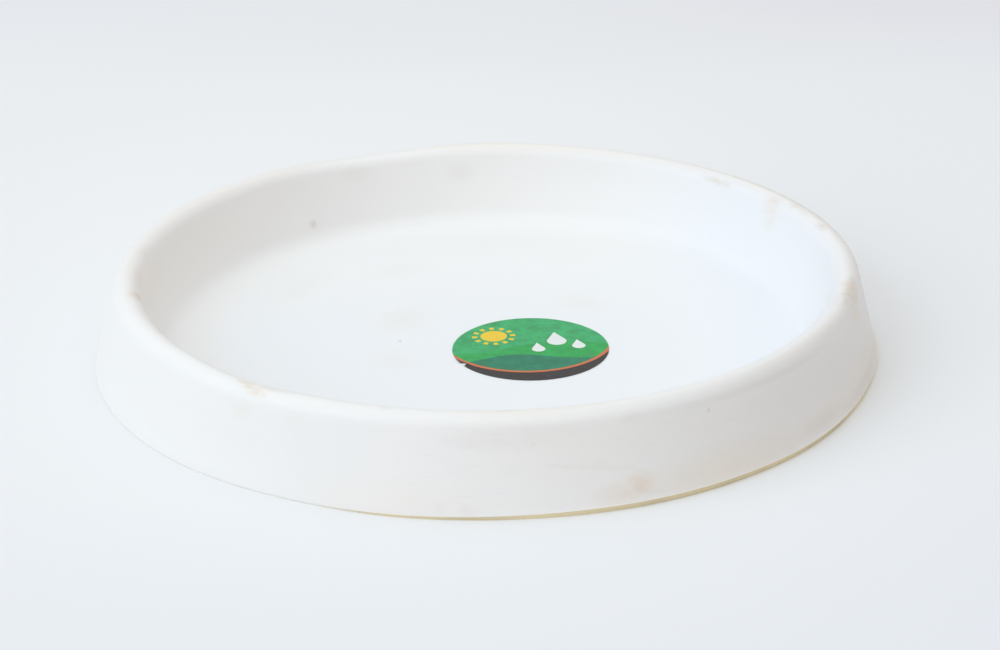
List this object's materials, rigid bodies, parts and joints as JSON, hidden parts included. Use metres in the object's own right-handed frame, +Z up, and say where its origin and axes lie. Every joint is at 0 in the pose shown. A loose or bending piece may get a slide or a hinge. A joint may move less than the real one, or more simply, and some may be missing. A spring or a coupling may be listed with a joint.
{
  "type": "plant saucer",
  "caption": "Round shallow plant saucer: one moulded skin with a sloping skirt, rounded rim and flat-floored basin that catches water under a pot, with a round label on the floor.",
  "frame": {"origin": "middle of the base, on the surface that the saucer stands on", "axes": "+Z up out of the basin; -Y is the front, the side nearer the label; +X to the right of the front"},
  "size_m": [0.4, 0.4, 0.046],
  "materials": {
    "moulded_polyethylene": "satin rotationally moulded white, lightly soil stained and scuffed",
    "label_print": "printed plastic film, semi-gloss green",
    "label_adhesive": "milky pressure-sensitive coat"
  },
  "bodies": {
    "root": {"saucer_shell": "moulded_polyethylene", "label_film": "label_print", "label_adhesive": "label_adhesive"}
  },
  "joints": []
}
